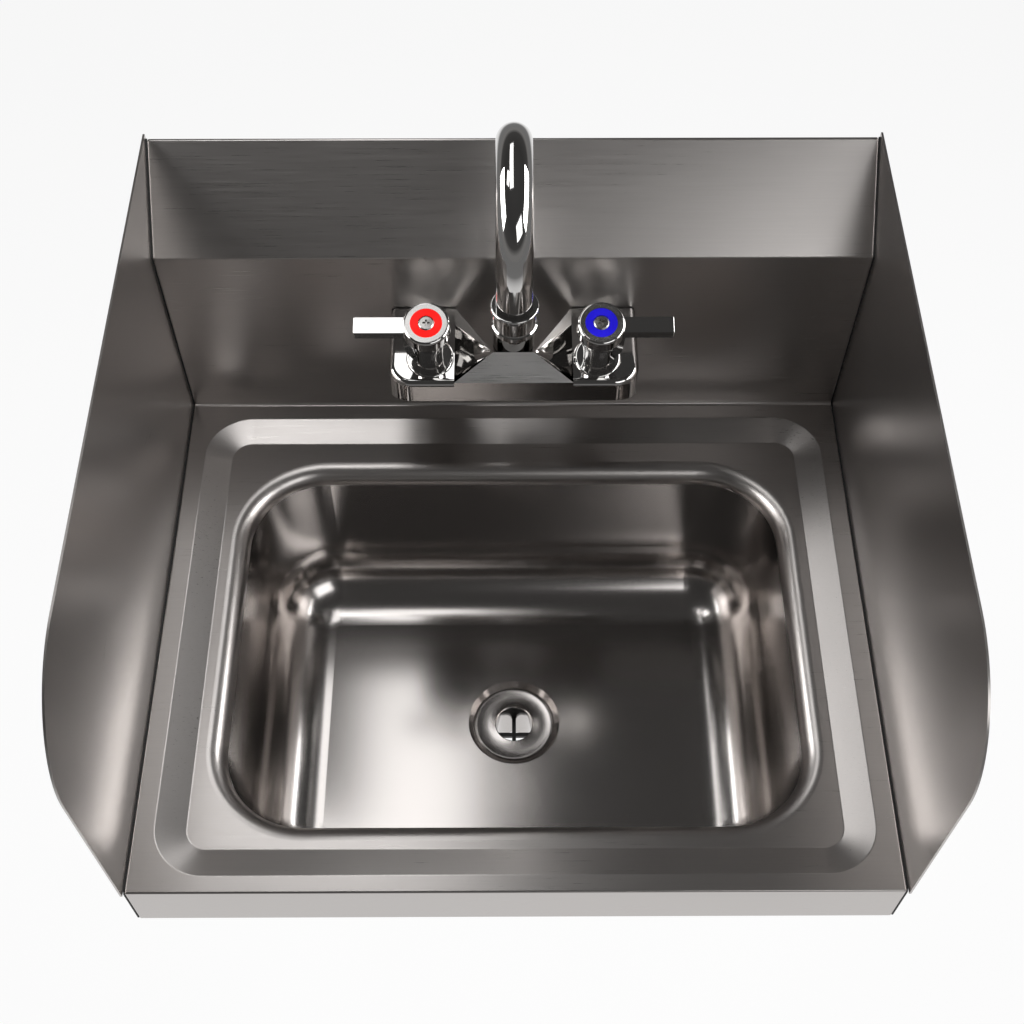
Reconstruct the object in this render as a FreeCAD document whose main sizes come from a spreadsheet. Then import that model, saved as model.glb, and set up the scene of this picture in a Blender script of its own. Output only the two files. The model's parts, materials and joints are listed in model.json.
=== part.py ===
"""Wall-hung hand sink: folded top, drawn bowl, side splashes, two-lever faucet and drain.

Frame: X to the right, Y into the wall, Z up. The origin is on the wall plane, midway between
the wall bracket's two screws. All lengths are in millimetres and all angles in degrees.
"""
import FreeCAD, Part
import math
import os
import re

import Sketcher
from FreeCAD import Placement, Rotation, Vector

SIZES = {
    # where things stand
    "wall_gap": 50.8,            # backsplash face to wall plane
    "deck_drop": 136.0,          # deck rim below the bracket's screws
    # folded sheet
    "sheet": 1.2,
    "deck_width": 431.8,
    "deck_depth": 340.4,
    "apron": 40.9,
    "splash_rise": 141.6,        # deck to the 45 degree bend
    "hook_drop": 25.0,           # flange that hangs on the bracket
    "fold_radius": 2.2,
    "hook_radius": 1.4,
    "outer_radius": 1.1,
    # pressed step and bowl
    "step_length": 408.4,
    "step_depth": 317.8,
    "step_centre": -171.4,
    "step_corner": 30.0,
    "step_drop": 5.5,
    "step_taper": 72.2,
    "step_round": 2.5,
    "bowl_length": 342.0,
    "bowl_depth": 242.4,
    "bowl_centre": -176.3,
    "bowl_corner": 49.0,
    "bowl_drop": 121.5,
    "bowl_taper": 3.0,
    "rim_round": 11.0,
    "floor_round": 41.0,
    "bowl_split": 16.5,          # the bowl is welded in just below its rim round
    # drain seat
    "seat_mouth_radius": 31.1,
    "seat_radius": 26.6,
    "seat_sink": 4.5,
    "drain_hole_radius": 17.4,
    # side splashes
    "pan_margin": 6.0,           # from the folds to the pressed panel
    "splash_gap": 1.0,
    "splash_front": 341.6,
    "splash_top": 193.4,
    "splash_corner": 68.0,
    "lap_drop": 30.0,
    "lap_front": 316.0,
    # splash fixings
    "fixing_front": 270.0,
    "fixing_rear": 60.0,
    "fixing_drop": 18.0,
    "fixing_hole": 2.75,
    "fixing_radius": 2.45,
    "fixing_length": 10.0,
    "fixing_head": 4.8,
    "fixing_head_rise": 2.6,
    "fixing_nut": 4.0,
    "fixing_nut_flat": 4.0,
    "spacer_radius": 6.0,
    # wall bracket
    "bracket_length": 300.0,
    "bracket_sheet": 2.0,
    "bracket_low": 20.0,
    "bracket_jog": 14.0,
    "bracket_top": 50.2,
    "bracket_screw_pitch": 203.2,
    "bracket_hole": 3.5,
    # faucet body
    "faucet_rise": 97.4,         # deck to the body's top plane
    "faucet_length": 152.4,
    "faucet_reach": 60.0,
    "faucet_face": 17.4,
    "faucet_thick": 31.4,
    "faucet_keel": 34.0,
    "faucet_corner": 15.0,
    "faucet_round": 3.8,
    "gasket": 1.0,
    "gasket_inner": 38.0,
    "gasket_outer": 75.2,
    "gasket_margin": 1.0,
    "block_inner": 36.0,
    "ridge_half": 12.3,
    "ridge_reach": 45.0,
    "ridge_rise": 10.6,
    "scoop_rear": 14.0,
    "scoop_dip": 12.0,
    "scoop_dip_reach": 32.0,
    "hub_radius": 12.6,
    "hub_rise": 4.0,
    "hub_reach": 32.4,
    "hub_web_drop": 13.0,
    "neck_radius": 11.7,
    "neck_top": 18.0,
    "neck_bore": 10.5,
    "neck_floor": 14.0,
    # valves
    "valve_half_spacing": 50.8,
    "valve_reach": 41.1,
    "valve_tilt": 14.0,
    "clearance": 0.05,
    "cartridge_radius": 9.5,
    "cartridge_depth": 20.0,
    "chamber": 4.0,
    "chamber_radius": 6.6,
    "collar": 2.5,
    "collar_radius": 11.5,
    "throat_radius": 7.0,
    "throat_top": 1.4,
    "disc_lift": 1.0,
    "disc_radius": 6.5,
    "stem_radius": 3.95,
    "stem_top": 38.0,
    "stem_tap": 1.7,
    "stem_tap_depth": 9.0,
    "bonnet_base": 14.5,
    "bonnet_sink": 3.8,
    "bonnet_shoulder": 0.8,
    "bonnet_round": 2.0,
    "bonnet_top": 3.0,
    "bonnet_flat": 7.5,
    "bonnet_hole": 4.6,
    # handles
    "handle_low": 3.4,
    "handle_top": 47.6,
    "handle_foot": 8.5,
    "handle_radius": 14.0,
    "handle_band": 9.0,
    "handle_flare": 140.0,
    "index_radius": 9.4,
    "index_hole": 4.8,
    "index_sink": 1.0,
    "lever_reach": 42.6,
    "lever_width": 10.0,
    "lever_thick": 7.0,
    "lever_heel": 20.0,
    "heel_reach": 13.6,
    "cap_round": 1.9,
    "lever_drop": 2.7,
    "screw_head": 4.65,
    "screw_seat": 44.0,
    "screw_radius": 1.6,
    "screw_grip": 8.0,
    # inlets
    "shank_radius": 10.4,
    "shank_bore": 7.0,
    "shank_drop": 17.4,
    "shank_grip": 14.0,
    "shank_tail": 42.0,
    "shank_hole": 11.1,
    "thread_clearance": 0.05,
    "thread_relief": 1.0,
    "washer_radius": 16.0,
    "washer": 1.6,
    "locknut_flat": 14.3,
    "locknut": 6.0,
    # spout
    "tube_radius": 9.525,
    "tube_wall": 1.2,
    "tube_foot": 4.0,
    "spout_radius": 39.8,
    "spout_rise": 148.0,
    "spout_end": 124.8,
    "nut_radius": 12.55,
    "nut_foot": 5.0,
    "nut_top": 24.0,
    "sleeve_radius": 10.45,
    "sleeve_foot": 12.0,
    "shoulder_top": 20.0,
    "o_ring_section": 0.6,
    "o_ring_radius": 9.83,
    # outlet
    "outlet_top": 128.6,
    "outlet_radius": 12.5,
    "outlet_bore": 9.6,
    "insert_top": 5.8,
    "nozzle_radius": 5.8,
    "nozzle_bore": 4.4,
    "nozzle_drop": 25.2,
    # drain
    "flange_radius": 26.4,
    "flange_rim": 1.6,
    "drain_bore": 12.4,
    "drain_thread": 16.6,
    "drain_length": 38.0,
    "crossbar_drop": 18.5,
    "crossbar_width": 2.7,
    "crossbar_height": 3.0,
    "drain_washer_radius": 25.0,
    "drain_washer": 2.0,
    "drain_nut_flat": 22.0,
    "drain_nut": 8.0,
}

doc = FreeCAD.newDocument("hand_sink")
cells = doc.addObject("Spreadsheet::Sheet", "Dimensions")
for row, (alias, size) in enumerate(SIZES.items(), start=1):
    cells.set("A%d" % row, alias)
    cells.set("B%d" % row, str(size))
    cells.setAlias("B%d" % row, alias)
doc.recompute()

UP = Vector(0, 0, 1)
ALONG_X = Rotation(Vector(0, 1, 0), 90)      # turns a Z axis into +X
ALONG_Y = Rotation(Vector(1, 0, 0), -90)     # turns a Z axis into +Y
DECK = Vector(0, -SIZES["wall_gap"], -SIZES["deck_drop"])
FAUCET = DECK + Vector(0, 0, SIZES["faucet_rise"])
SCREW_TURNS = {"hot": 0, "cold": 27}         # where each handle screw's cross came to rest
sub_parts = []


# ---------- formulas: sums of products of cells and numbers, such as "0.5 * deck_width - sheet"

def factor_value(word):
    """Value of one cell or number, with an optional minus sign."""
    sign = -1.0 if word.startswith("-") else 1.0
    name = word.lstrip("-")
    return sign * (SIZES[name] if name in SIZES else float(name))


def value_of(formula):
    """Value of a sum of products."""
    terms = str(formula).replace(" - ", " + -1 * ").split(" + ")
    return sum(math.prod(factor_value(word) for word in term.split(" * ")) for term in terms)


def bind(thing, target, formula):
    """Tie a property or constraint to the sheet's cells."""
    named = re.sub(r"[a-z_]+", lambda word: "Dimensions." + word.group(0), str(formula))
    if named != str(formula):
        thing.setExpression(target, named)


def sized(thing, **formulas):
    """Set and bind several properties of an object."""
    for name, formula in formulas.items():
        setattr(thing, name, value_of(formula))
        bind(thing, name, formula)
    return thing


# ---------- sketches

def sketch_on(body, plane, name, offset="0"):
    """New sketch on one of the body's own origin planes, raised along the plane's normal."""
    sketch = body.newObject("Sketcher::SketchObject", name)
    plane_feature = next(item for item in body.Origin.OriginFeatures if item.Role == plane)
    sketch.AttachmentSupport = (plane_feature, [""])
    sketch.MapMode = "FlatFace"
    sketch.AttachmentOffset = Placement(Vector(0, 0, value_of(offset)), Rotation())
    bind(sketch, "AttachmentOffset.Base.z", offset)
    return sketch


def pin(sketch, geometry, end, u, v):
    """Hold one point of a sketch at the coordinates that two formulas give."""
    for kind, formula in (("DistanceX", u), ("DistanceY", v)):
        index = sketch.addConstraint(Sketcher.Constraint(kind, geometry, end, value_of(formula)))
        bind(sketch, "Constraints[%d]" % index, formula)


def arc_between(start, finish, radius, turn):
    """The short arc from start to finish that turns left or right."""
    chord = finish - start
    rise = math.sqrt(max(radius ** 2 - chord.Length ** 2 / 4, 0))
    side = Vector(-chord.y, chord.x, 0).normalize() * (1 if turn == "left" else -1)
    centre = (start + finish) * 0.5 + side * rise
    first, last = (start, finish) if turn == "left" else (finish, start)
    angles = [math.atan2(point.y - centre.y, point.x - centre.x) for point in (first, last)]
    return Part.ArcOfCircle(Part.Circle(centre, UP, radius), angles[0], angles[1])


def outline(sketch, points):
    """Closed outline. A point is (u, v), or (u, v, radius, turn) when an arc leads to it."""
    places = [Vector(value_of(point[0]), value_of(point[1]), 0) for point in points]
    start_ends = []
    for number, point in enumerate(points):
        start, finish = places[number - 1], places[number]
        if len(point) == 4:
            edge = sketch.addGeometry(arc_between(start, finish, value_of(point[2]), point[3]))
            index = sketch.addConstraint(Sketcher.Constraint("Radius", edge, value_of(point[2])))
            bind(sketch, "Constraints[%d]" % index, point[2])
            start_ends.append((edge, 1, 2) if point[3] == "left" else (edge, 2, 1))
        else:
            edge = sketch.addGeometry(Part.LineSegment(start, finish))
            start_ends.append((edge, 1, 2))
    for number, (edge, start, end) in enumerate(start_ends):
        following, next_start, _ = start_ends[(number + 1) % len(points)]
        sketch.addConstraint(Sketcher.Constraint("Coincident", edge, end, following, next_start))
        pin(sketch, edge, end, points[number][0], points[number][1])


def round_box(sketch, length, depth, corner, centre="0"):
    """Rounded rectangle, with its middle on the sketch's vertical axis at the given height."""
    half, reach = "0.5 * " + length, "0.5 * " + depth
    right, left = half, "-0.5 * " + length
    top, bottom = centre + " + " + reach, centre + " - " + reach
    outline(sketch, [
        (right, top + " - " + corner),
        (right + " - " + corner, top, corner, "left"),
        (left + " + " + corner, top),
        (left, top + " - " + corner, corner, "left"),
        (left, bottom + " + " + corner),
        (left + " + " + corner, bottom, corner, "left"),
        (right + " - " + corner, bottom),
        (right, bottom + " + " + corner, corner, "left"),
    ])


def circle(sketch, radius, u="0", v="0"):
    """Circle of a bound radius at a bound centre."""
    middle = Vector(value_of(u), value_of(v), 0)
    edge = sketch.addGeometry(Part.Circle(middle, UP, value_of(radius)))
    index = sketch.addConstraint(Sketcher.Constraint("Radius", edge, value_of(radius)))
    bind(sketch, "Constraints[%d]" % index, radius)
    pin(sketch, edge, 3, u, v)


# ---------- features

def new_body(label):
    """Empty body with its label."""
    body = doc.addObject("PartDesign::Body", label)
    body.Label = label
    return body


def feature(body, kind, name, profile, **formulas):
    """Pad, pocket or revolution of a sketch, brought up to date so that others can build on it."""
    item = body.newObject("PartDesign::" + kind, name)
    item.Profile = profile
    if kind in ("Revolution", "Groove"):
        item.ReferenceAxis = (profile, ["V_Axis"])
        item.Angle = 360.0
    profile.Visibility = False
    sized(item, **formulas)
    doc.recompute()
    return item


def edges_at(shape, test):
    """Names of the edges whose middle point and curve pass the test."""
    names = []
    for number, edge in enumerate(shape.Edges, start=1):
        middle = edge.valueAt((edge.FirstParameter + edge.LastParameter) / 2)
        if test(middle, edge):
            names.append("Edge%d" % number)
    return names


def dress(body, kind, name, base, test, **formulas):
    """Fillet or chamfer the edges of the base feature that pass the test."""
    item = body.newObject("PartDesign::" + kind, name)
    item.Base = (base, edges_at(base.Shape, test))
    sized(item, **formulas)
    doc.recompute()
    return item


def near(value, target, tolerance=0.05):
    """True when two lengths agree."""
    return abs(value - target) < tolerance


def boolean(kind, name, *shapes):
    """Part cut of two objects, or fusion or common of several."""
    item = doc.addObject("Part::" + kind, name)
    if kind == "Cut":
        item.Base, item.Tool = shapes
    else:
        item.Shapes = list(shapes)
    item.Refine = True
    doc.recompute()
    return item


def cylinder(name, radius, height, place):
    """Part cylinder with bound sizes."""
    item = sized(doc.addObject("Part::Cylinder", name), Radius=radius, Height=height)
    item.Placement = place
    return item


def box(name, length, width, height, corner):
    """Part box with bound sizes, standing on its lowest corner."""
    item = sized(doc.addObject("Part::Box", name), Length=length, Width=width, Height=height)
    item.Placement = Placement(corner, Rotation())
    return item


def finish(item, label, place=None):
    """Register a finished sub-part under its node's name."""
    item.Label = label
    if place is not None:
        item.Placement = place
    sub_parts.append(item)
    return item


def turned_body(name, points, place):
    """Body turned about its own Z axis, from a half section of (radius, height) points."""
    body = new_body(name)
    section = sketch_on(body, "XZ_Plane", name + "_section")
    outline(section, points)
    feature(body, "Revolution", name + "_turn", section)
    body.Placement = place
    return body


def turned(label, points, place):
    """Turned body that is a sub-part by itself."""
    return finish(turned_body(label, points, place), label)


def hexagon(sketch, flat):
    """Hexagon with two corners on the horizontal axis, from its half width across flats."""
    corner, half_corner = "1.1547 * " + flat, "0.57735 * " + flat
    outline(sketch, [(corner, "0"), (half_corner, flat), ("-" + half_corner, flat),
                     ("-" + corner, "0"), ("-" + half_corner, "-" + flat), (half_corner, "-" + flat)])


def at(x, y, z):
    """Point from three formulas."""
    return Vector(value_of(x), value_of(y), value_of(z))


# ---------- folded top and drawn bowl

def drawn_pan():
    """Pressed panel: the step, the bowl below it and the drain seat, as one skin."""
    pan = new_body("pressed_panel")
    half, margin = "0.5 * deck_width - pan_margin", "-pan_margin"
    slab = sketch_on(pan, "XY_Plane", "slab_outline")
    outline(slab, [(half, margin), ("-0.5 * deck_width + pan_margin", margin),
                   ("-0.5 * deck_width + pan_margin", "-deck_depth + pan_margin"),
                   (half, "-deck_depth + pan_margin")])
    feature(pan, "Pad", "slab", slab, Length="10")
    step = sketch_on(pan, "XY_Plane", "step_outline")
    round_box(step, "step_length", "step_depth", "step_corner", "step_centre")
    feature(pan, "Pad", "step", step, Length="step_drop", TaperAngle="-step_taper").Reversed = True
    bowl = sketch_on(pan, "XY_Plane", "bowl_outline", "-step_drop")
    round_box(bowl, "bowl_length", "bowl_depth", "bowl_corner", "bowl_centre")
    hollow = feature(pan, "Pad", "hollow", bowl, Length="bowl_drop", TaperAngle="-bowl_taper")
    hollow.Reversed = True
    doc.recompute()
    floor = value_of("-step_drop - bowl_drop")
    floor_edges = dress(pan, "Fillet", "floor_edges", hollow,
                        lambda spot, edge: near(spot.z, floor), Radius="floor_round")
    rim = dress(pan, "Fillet", "rim", floor_edges, is_rim_edge, Radius="rim_round")
    creases = dress(pan, "Fillet", "step_creases", rim, is_step_edge, Radius="step_round")
    seat = sketch_on(pan, "XZ_Plane", "seat_section", "-bowl_centre")
    outline(seat, [("0", "-step_drop - bowl_drop + 1"),
                   ("seat_mouth_radius", "-step_drop - bowl_drop + 1"),
                   ("seat_mouth_radius", "-step_drop - bowl_drop"),
                   ("seat_radius", "-step_drop - bowl_drop - seat_sink"),
                   ("0", "-step_drop - bowl_drop - seat_sink")])
    sunk = feature(pan, "Revolution", "drain_seat", seat)
    skin = pan.newObject("PartDesign::Thickness", "skin")
    skin.Base = (sunk, slab_faces(sunk.Shape))
    sized(skin, Value="sheet")
    skin.Reversed = False
    doc.recompute()
    hole = sketch_on(pan, "XY_Plane", "drain_hole_outline")
    circle(hole, "drain_hole_radius", "0", "bowl_centre")
    opening = feature(pan, "Pocket", "drain_hole", hole)
    opening.Type = "ThroughAll"
    doc.recompute()
    return pan


def is_rim_edge(spot, edge):
    """Edges where the bowl leaves the recessed deck."""
    inside = abs(spot.x) < value_of("0.5 * bowl_length + 0.5")
    inside = inside and abs(spot.y - value_of("bowl_centre")) < value_of("0.5 * bowl_depth + 0.5")
    return near(spot.z, value_of("-step_drop")) and inside


def is_step_edge(spot, edge):
    """Both creases of the pressed step."""
    half = value_of("0.5 * deck_width - pan_margin")
    outer = near(abs(spot.x), half) or near(spot.y, value_of("-pan_margin"))
    outer = outer or near(spot.y, value_of("-deck_depth + pan_margin"))
    rim_length = value_of("0.5 * bowl_length + rim_round + 0.5")
    rim_depth = value_of("0.5 * bowl_depth + rim_round + 0.5")
    beyond_rim = abs(spot.x) > rim_length or abs(spot.y - SIZES["bowl_centre"]) > rim_depth
    level = near(spot.z, 0) or near(spot.z, value_of("-step_drop"))
    return level and beyond_rim and not outer


def slab_faces(shape):
    """Top and side faces of the slab, which stay open in the skin."""
    names = []
    for number, face in enumerate(shape.Faces, start=1):
        if face.CenterOfMass.z > 1.0:
            names.append("Face%d" % number)
    return names


def folded_sheet():
    """Apron, deck, backsplash, 45 degree return and hanging flange, folded from one sheet."""
    fold = new_body("folded_sheet")
    section = sketch_on(fold, "YZ_Plane", "fold_section")
    outline(section, [
        ("-deck_depth", "-apron"),
        ("-deck_depth", "0"),
        ("0", "0"),
        ("0", "splash_rise"),
        ("wall_gap", "splash_rise + wall_gap"),
        ("wall_gap", "splash_rise + wall_gap - hook_drop"),
        ("wall_gap - sheet", "splash_rise + wall_gap - hook_drop"),
        ("wall_gap - sheet", "splash_rise + wall_gap - 2.4142 * sheet"),
        ("sheet", "splash_rise - 0.4142 * sheet"),
        ("sheet", "-sheet"),
        ("-deck_depth + sheet", "-sheet"),
        ("-deck_depth + sheet", "-apron"),
    ])
    strip = feature(fold, "Pad", "strip", section, Length="deck_width")
    strip.SideType = "Symmetric"
    doc.recompute()
    bends = dress(fold, "Fillet", "bends", strip, lambda spot, edge: near(spot.x, 0) and near(spot.y, 0),
                  Radius="fold_radius")
    dress(fold, "Fillet", "hook_bend", bends,
          lambda spot, edge: near(spot.x, 0) and near(spot.z, value_of("splash_rise + wall_gap")),
          Radius="hook_radius")
    return fold


def sink_top_and_bowl():
    """The folded sheet with its side aprons and pressed panel, and the bowl welded below it."""
    pan = drawn_pan()
    half, depth = SIZES["deck_width"] / 2, SIZES["deck_depth"]
    window = box("deck_window", "deck_width - 2 * pan_margin", "deck_depth - 2 * pan_margin", "4 * sheet",
                 at("-0.5 * deck_width + pan_margin", "-deck_depth + pan_margin", "-2 * sheet"))
    framed = boolean("Cut", "deck_frame", folded_sheet(), window)
    aprons = [box("apron_" + side, "sheet", "deck_depth", "apron",
                  Vector(corner, -depth, -SIZES["apron"]))
              for side, corner in (("left", -half), ("right", half - SIZES["sheet"]))]
    below = box("below_the_rim", "deck_width", "deck_depth", "deck_depth",
                at("-0.5 * deck_width", "-deck_depth", "-bowl_split - deck_depth"))
    pressed_deck = boolean("Cut", "pressed_deck", pan, below)
    bowl = boolean("MultiCommon", "bowl", pan, below)
    joined = boolean("MultiFuse", "welded_top", framed, pressed_deck, *aprons)
    faucet_holes = [cylinder("faucet_hole_" + side, "shank_hole", "10",
                             Placement(at(across, "-5", "faucet_rise - shank_drop"), ALONG_Y))
                    for side, across in (("hot", "-valve_half_spacing"), ("cold", "valve_half_spacing"))]
    fixing_holes = [cylinder("apron_hole_" + place, "fixing_hole", "deck_width + 10",
                             Placement(at("-0.5 * deck_width - 5", "-" + place, "-fixing_drop"), ALONG_X))
                    for place in ("fixing_front", "fixing_rear")]
    drilled = boolean("Cut", "drilled_top", joined,
                      boolean("MultiFuse", "top_drills", *faucet_holes, *fixing_holes))
    corners = doc.addObject("Part::Fillet", "sink_top")
    corners.Base = drilled
    radius = SIZES["outer_radius"]
    folds = edges_at(drilled.Shape, is_outer_fold)
    corners.Edges = [(int(name.removeprefix("Edge")), radius, radius) for name in folds]
    doc.recompute()
    finish(corners, "sink_top", Placement(DECK, Rotation()))
    finish(bowl, "bowl", Placement(DECK, Rotation()))


def is_outer_fold(spot, edge):
    """Outer edges of the front and side aprons."""
    half = value_of("0.5 * deck_width")
    front = near(spot.y, -SIZES["deck_depth"])
    side = near(abs(spot.x), half) and spot.y < -1
    level = near(spot.z, 0)
    upright = near(spot.z, value_of("-0.5 * apron"), 2) and front and side and edge.Length > 30
    return (level and (front or side)) or upright


# ---------- side splashes and their fixings

def side_splash(side, sign):
    """Flat plate with a rounded front corner and a lap below the deck."""
    label = side + "_side_splash"
    plate = new_body(label)
    shape = sketch_on(plate, "YZ_Plane", label + "_outline")
    outline(shape, [
        ("-splash_front", "-sheet"),
        ("-splash_front", "splash_top - splash_corner"),
        ("-splash_front + splash_corner", "splash_top", "splash_corner", "right"),
        ("wall_gap", "splash_top"),
        ("wall_gap", "-lap_drop"),
        ("-lap_front", "-lap_drop"),
        ("-lap_front - 10", "-sheet"),
    ])
    for place in ("-fixing_front", "-fixing_rear"):
        circle(shape, "fixing_hole", place, "-fixing_drop")
    feature(plate, "Pad", label + "_pad", shape, Length="sheet")
    inner = value_of("0.5 * deck_width + splash_gap")
    across = inner if sign > 0 else -inner - SIZES["sheet"]
    finish(plate, label, Placement(DECK + Vector(across, 0, 0), Rotation()))


def pair(label, pieces):
    """One sub-part that holds identical fasteners as separate solids."""
    group = doc.addObject("Part::Compound", label)
    group.Links = pieces
    doc.recompute()
    return finish(group, label)


def cross_recess(body, name, top, half_width, reach, depth):
    """Plus-shaped driver recess in a screw head."""
    mark = sketch_on(body, "XY_Plane", name, top)
    w, r = half_width, reach
    outline(mark, [(w, w), (w, r), ("-" + w, r), ("-" + w, w), ("-" + r, w), ("-" + r, "-" + w),
                   ("-" + w, "-" + w), ("-" + w, "-" + r), (w, "-" + r), (w, "-" + w),
                   (r, "-" + w), (r, w)])
    feature(body, "Pocket", name + "_cut", mark, Length=depth)


def splash_fixings(side, sign):
    """Two screws, spacers and nuts that hold one side splash on its apron."""
    outward = Rotation(Vector(0, 1, 0), 90 * sign)
    outer_face = sign * value_of("0.5 * deck_width + splash_gap + sheet")
    screws, spacers, nuts = [], [], []
    for place in ("fixing_front", "fixing_rear"):
        spot = Placement(DECK + Vector(outer_face, -SIZES[place], -SIZES["fixing_drop"]), outward)
        name = side + "_" + place
        screw = turned_body(name + "_screw", [
            ("0", "-fixing_length"), ("fixing_radius", "-fixing_length"), ("fixing_radius", "0"),
            ("fixing_head", "0"), ("fixing_head", "1.0"), ("fixing_head - 1.4", "fixing_head_rise"),
            ("0", "fixing_head_rise")], spot)
        cross_recess(screw, name + "_recess", "fixing_head_rise", "0.5", "1.8", "1.4")
        screws.append(screw)
        spacers.append(turned_body(name + "_spacer", [
            ("fixing_hole", "-sheet - splash_gap"), ("spacer_radius", "-sheet - splash_gap"),
            ("spacer_radius", "-sheet"), ("fixing_hole", "-sheet")], spot))
        nut = new_body(name + "_nut")
        nut_foot = "-2 * sheet - splash_gap - fixing_nut"
        profile = sketch_on(nut, "XY_Plane", name + "_nut_outline", nut_foot)
        hexagon(profile, "fixing_nut_flat")
        circle(profile, "fixing_radius + thread_clearance")
        feature(nut, "Pad", name + "_nut_pad", profile, Length="fixing_nut")
        nut.Placement = spot
        nuts.append(nut)
    pair(side + "_splash_screws", screws)
    pair(side + "_splash_spacers", spacers)
    pair(side + "_splash_nuts", nuts)


def wall_bracket():
    """Jogged strip on the wall: the sink's flange drops in behind its upper leg."""
    bracket = new_body("wall_bracket")
    section = sketch_on(bracket, "YZ_Plane", "bracket_section")
    outline(section, [
        ("0", "-bracket_low"), ("0", "bracket_jog"), ("-bracket_sheet", "bracket_jog + 3"),
        ("-bracket_sheet", "bracket_top"), ("-2 * bracket_sheet", "bracket_top"),
        ("-2 * bracket_sheet", "bracket_jog + 2"), ("-bracket_sheet", "bracket_jog - 1"),
        ("-bracket_sheet", "-bracket_low"),
    ])
    strip = feature(bracket, "Pad", "bracket_strip", section, Length="bracket_length")
    strip.SideType = "Symmetric"
    holes = sketch_on(bracket, "XZ_Plane", "bracket_holes")
    for across in ("-0.5 * bracket_screw_pitch", "0.5 * bracket_screw_pitch"):
        circle(holes, "bracket_hole", across, "0")
    cut = feature(bracket, "Pocket", "bracket_hole_cut", holes, Length="20")
    cut.SideType = "Symmetric"
    doc.recompute()
    finish(bracket, "wall_bracket")


# ---------- faucet body

def faucet_body():
    """Cast body: two valve blocks joined by a bow-tie bridge with a spout hub."""
    plan = new_body("faucet_plan")
    footprint = sketch_on(plan, "XY_Plane", "faucet_footprint")
    end, front = "0.5 * faucet_length", "-faucet_reach"
    outline(footprint, [
        (end, "-gasket"), ("block_inner", "-gasket"), ("ridge_half", "-ridge_reach"),
        ("-ridge_half", "-ridge_reach"), ("-block_inner", "-gasket"), ("-" + end, "-gasket"),
        ("-" + end, front + " + faucet_corner"),
        ("-" + end + " + faucet_corner", front, "faucet_corner", "left"),
        (end + " - faucet_corner", front),
        (end, front + " + faucet_corner", "faucet_corner", "left"),
    ])
    prism = feature(plan, "Pad", "faucet_prism", footprint, Length="ridge_rise", Length2="faucet_thick")
    prism.SideType = "Two sides"
    doc.recompute()
    slab = box("faucet_slab", "faucet_length", "faucet_reach", "faucet_thick",
               at("-0.5 * faucet_length", "-faucet_reach", "-faucet_thick"))
    rise = sized(doc.addObject("Part::Wedge", "bridge_rise"), Xmin="-block_inner", Xmax="block_inner",
                 Ymin="0", Ymax="ridge_rise", Zmin="0", Zmax="faucet_reach",
                 X2min="-ridge_half", X2max="ridge_half", Z2min="0", Z2max="ridge_reach")
    rise.Placement = Placement(Vector(), Rotation(Vector(1, 0, 0), 90))
    raised = boolean("MultiFuse", "faucet_block", slab, rise)
    blank = boolean("MultiCommon", "faucet_blank", raised, plan)
    middle = box("bridge_zone", "2 * block_inner", "2 * faucet_reach", "4 * faucet_thick",
                 at("-block_inner", "-1.5 * faucet_reach", "-2 * faucet_thick"))
    bridge = boolean("Cut", "scooped_bridge", boolean("MultiCommon", "bridge", blank, middle),
                     boolean("MultiFuse", "scoops", scoop("left", -1), scoop("right", 1)))
    blocks = boolean("Cut", "valve_blocks", blank, middle)
    rounded = doc.addObject("Part::Fillet", "rounded_blocks")
    rounded.Base = blocks
    radius = SIZES["faucet_round"]
    rims = edges_at(blocks.Shape, is_block_edge)
    rounded.Edges = [(int(name.removeprefix("Edge")), radius, radius) for name in rims]
    doc.recompute()
    hub = cylinder("spout_hub", "hub_radius", "faucet_thick + hub_rise",
                   Placement(at("0", "-hub_reach", "-faucet_thick"), Rotation()))
    neck = cylinder("spout_neck", "neck_radius", "neck_top - hub_rise",
                    Placement(at("0", "-hub_reach", "hub_rise"), Rotation()))
    web = box("hub_web", "2 * ridge_half", "ridge_reach - 24", "faucet_thick - hub_web_drop",
              at("-ridge_half", "-ridge_reach", "-faucet_thick"))
    cast = boolean("MultiFuse", "faucet_casting", bridge, rounded, hub, neck, web)
    keel = new_body("faucet_keel")
    keel_section = sketch_on(keel, "YZ_Plane", "keel_section")
    outline(keel_section, [("-faucet_reach", "-faucet_face"), ("-faucet_keel", "-faucet_thick"),
                           ("-faucet_reach", "-faucet_thick")])
    feature(keel, "Pad", "keel_pad", keel_section, Length="faucet_length").SideType = "Symmetric"
    doc.recompute()
    trimmed = boolean("Cut", "trimmed_casting", cast, keel)
    bored = boolean("Cut", "bored_casting", trimmed, boolean("MultiFuse", "faucet_bores", *faucet_bores()))
    finish(bored, "faucet_body", Placement(FAUCET, Rotation()))


def is_block_edge(spot, edge):
    """Top edges of the valve blocks at their front and outer sides."""
    outer = abs(spot.x) > value_of("0.5 * faucet_length - faucet_corner")
    front = near(spot.y, -SIZES["faucet_reach"])
    behind = near(spot.y, -SIZES["gasket"])
    beside_bridge = abs(spot.x) < SIZES["block_inner"] + 1
    return near(spot.z, 0) and (outer or front) and not behind and not beside_bridge


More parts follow.
